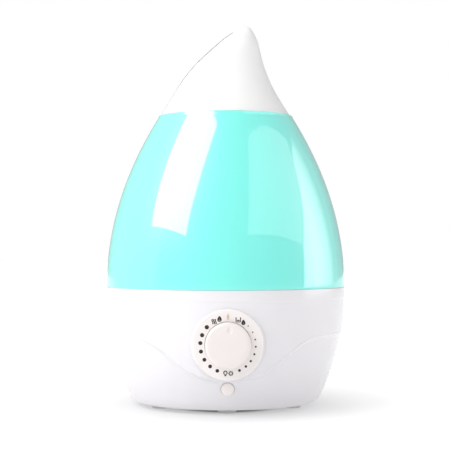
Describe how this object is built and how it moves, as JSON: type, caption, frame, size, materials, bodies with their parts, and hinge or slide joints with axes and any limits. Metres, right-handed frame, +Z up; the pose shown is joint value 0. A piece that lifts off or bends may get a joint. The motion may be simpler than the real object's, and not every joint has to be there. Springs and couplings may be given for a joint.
{
  "type": "cool mist humidifier",
  "caption": "Teardrop-shaped ultrasonic humidifier with a lift-off water tank, a turning mist nozzle, a front dial and a lamp button.",
  "frame": {"origin": "on the surface that the feet stand on, under the middle of the footprint, knob included; the round body's own axis stands 5 mm behind it", "axes": "+Z up; the front with the dial faces -Y; +X is to the right seen from the front, the side the nozzle's tip leans to"},
  "size_m": [0.168, 0.178, 0.2677],
  "materials": {
    "white_plastic": "smooth moulded, softly glossy",
    "warm_white_plastic": "smooth moulded, satin",
    "teal_plastic": "glossy translucent",
    "milky_plastic": "translucent, satin",
    "float_foam": "closed foam",
    "rubber": "matt",
    "pale_rubber": "soft, matt",
    "circuit_board": "lacquered",
    "black_plastic": "fine matt",
    "steel": "plain",
    "aluminium": "extruded",
    "brass": "thin sheet",
    "coil_copper": "enamelled wire",
    "capacitor_sleeve": "shrunk sleeve",
    "clear_lens": "clear",
    "orange_lens": "tinted, clear"
  },
  "bodies": {
    "base": {"base_shell": "white_plastic", "bottom_cover": "white_plastic", "water_basin": "white_plastic", "mist_well": "white_plastic", "cap_well": "white_plastic", "screw_column_1": "white_plastic", "screw_column_2": "white_plastic", "screw_column_3": "white_plastic", "screw_column_4": "white_plastic", "valve_post": "white_plastic", "air_duct": "white_plastic", "float_post": "white_plastic", "dial_plate": "warm_white_plastic", "foot_1": "rubber", "foot_2": "rubber", "foot_3": "rubber", "foot_4": "rubber", "foot_5": "rubber", "foot_6": "rubber", "cover_screw_1": "steel", "cover_screw_2": "steel", "cover_screw_3": "steel", "cover_screw_4": "steel", "transducer_seal": "pale_rubber", "transducer_disc": "brass", "transducer_clamp": "steel", "control_board": "circuit_board", "main_board": "circuit_board", "lamp_board": "circuit_board", "fan_frame": "black_plastic", "power_inlet": "black_plastic", "power_transistor": "black_plastic", "tact_switch": "black_plastic", "potentiometer": "steel", "heat_sink": "aluminium", "choke_coil": "coil_copper", "capacitor": "capacitor_sleeve", "lamp_lens": "clear_lens", "reed_switch": "clear_lens", "indicator_lens": "orange_lens", "indicator_led": "orange_lens"},
    "knob": {"mist_knob": "warm_white_plastic", "potentiometer_shaft": "steel"},
    "button": {"light_button": "warm_white_plastic", "switch_plunger": "black_plastic"},
    "fan": {"fan_rotor": "black_plastic"},
    "float": {"float_ring": "float_foam"},
    "tank": {"tank_shell": "teal_plastic", "tank_floor": "teal_plastic", "mist_tube": "milky_plastic"},
    "filler_cap": {"tank_cap": "white_plastic", "cap_gasket": "rubber", "valve_bridge": "white_plastic", "valve_spring": "steel"},
    "valve": {"valve_plunger": "white_plastic", "valve_seal": "rubber"},
    "collar": {"nozzle_collar": "white_plastic", "splash_baffle": "white_plastic"},
    "nozzle": {"nozzle_cap": "white_plastic"}
  },
  "joints": [
    {"name": "knob_turn", "type": "hinge", "parent": "base", "child": "knob", "pos_m": [0, -0.085, 0.0477], "axis": [0, 1, 0], "range_deg": [0, 300]},
    {"name": "button_press", "type": "slide", "parent": "base", "child": "button", "axis": [0, 1, 0], "range_m": [0, 0.0008], "stiffness_N_per_m": 400, "springref_m": -0.0005},
    {"name": "fan_spin", "type": "hinge", "parent": "base", "child": "fan", "pos_m": [-0.05, 0.005, 0.0382], "axis": [0, 0, 1], "continuous": true},
    {"name": "float_rise", "type": "slide", "parent": "base", "child": "float", "axis": [0, 0, 1], "range_m": [0, 0.0058]},
    {"name": "tank_lift", "type": "slide", "parent": "base", "child": "tank", "axis": [0, 0, 1], "range_m": [0, 0.1]},
    {"name": "cap_turn", "type": "hinge", "parent": "tank", "child": "filler_cap", "pos_m": [0, 0.051, 0.077], "axis": [0, 0, -1], "range_deg": [0, 450]},
    {"name": "valve_slide", "type": "slide", "parent": "filler_cap", "child": "valve", "axis": [0, 0, 1], "range_m": [-0.0024, 0], "deforming": ["valve_spring"]},
    {"name": "nozzle_lift", "type": "slide", "parent": "tank", "child": "collar", "axis": [0, 0, 1], "range_m": [0, 0.04]},
    {"name": "nozzle_turn", "type": "hinge", "parent": "collar", "child": "nozzle", "pos_m": [0, 0.005, 0.22], "axis": [0, 0, 1], "continuous": true}
  ],
  "couplings": [
    {"joint": "valve_slide", "follows": "tank_lift", "ratio": -0.024}
  ]
}
